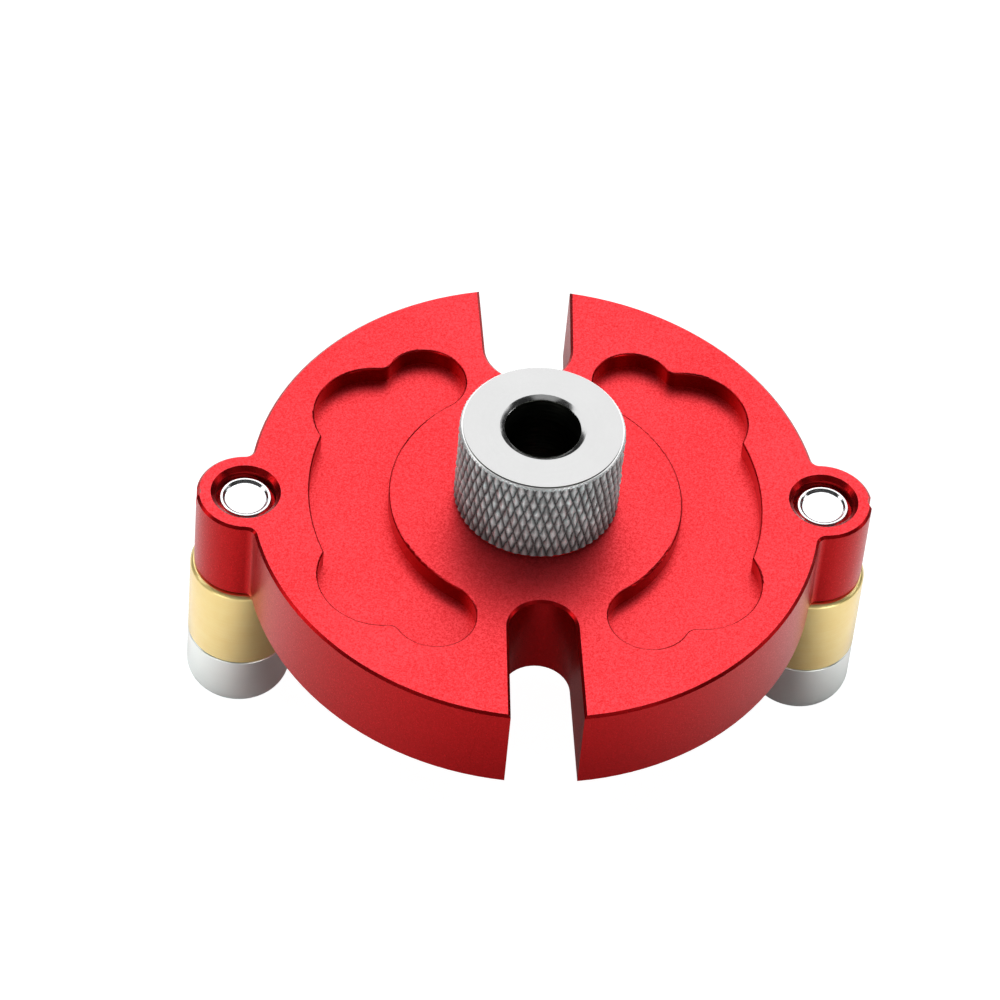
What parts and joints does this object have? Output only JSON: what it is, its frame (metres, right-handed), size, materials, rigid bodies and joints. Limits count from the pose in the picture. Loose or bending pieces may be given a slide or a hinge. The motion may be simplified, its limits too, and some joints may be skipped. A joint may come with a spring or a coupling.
{
  "type": "self centering doweling jig",
  "caption": "Round doweling jig: a plate with a knurled screw-in drill bushing between two posts with turning sleeves that straddle a board and centre the bore on its thickness.",
  "frame": {"origin": "on the drill axis, in the plane of the plate's underside, which sits on the edge of the board", "axes": "+Z along the drill axis, up out of the bushing; +X through the right post, across the board's thickness direction when the jig is square on; +Y to the back, towards the wider sighting slot"},
  "size_m": [0.0908, 0.0752, 0.0503],
  "materials": {
    "red_anodised_aluminium": "bead blasted, red anodised, satin",
    "bushing_steel": "turned and knurled, bright",
    "post_steel": "turned, satin, bright on the end of the thread",
    "sleeve_brass": "turned, satin"
  },
  "bodies": {
    "jig": {"jig_body": "red_anodised_aluminium", "post_screw_left": "post_steel", "post_screw_right": "post_steel"},
    "bushing": {"drill_bushing": "bushing_steel"},
    "sleeve_left": {"guide_sleeve_left": "sleeve_brass"},
    "sleeve_right": {"guide_sleeve_right": "sleeve_brass"}
  },
  "joints": [
    {"name": "bushing_unscrew", "type": "slide", "parent": "jig", "child": "bushing", "axis": [0, 0, 1], "range_m": [0, 0.013]},
    {"name": "sleeve_left_turn", "type": "hinge", "parent": "jig", "child": "sleeve_left", "pos_m": [-0.0384, 0, -0.0069], "axis": [0, 0, 1], "continuous": true},
    {"name": "sleeve_right_turn", "type": "hinge", "parent": "jig", "child": "sleeve_right", "pos_m": [0.0384, 0, -0.0069], "axis": [0, 0, 1], "continuous": true}
  ]
}
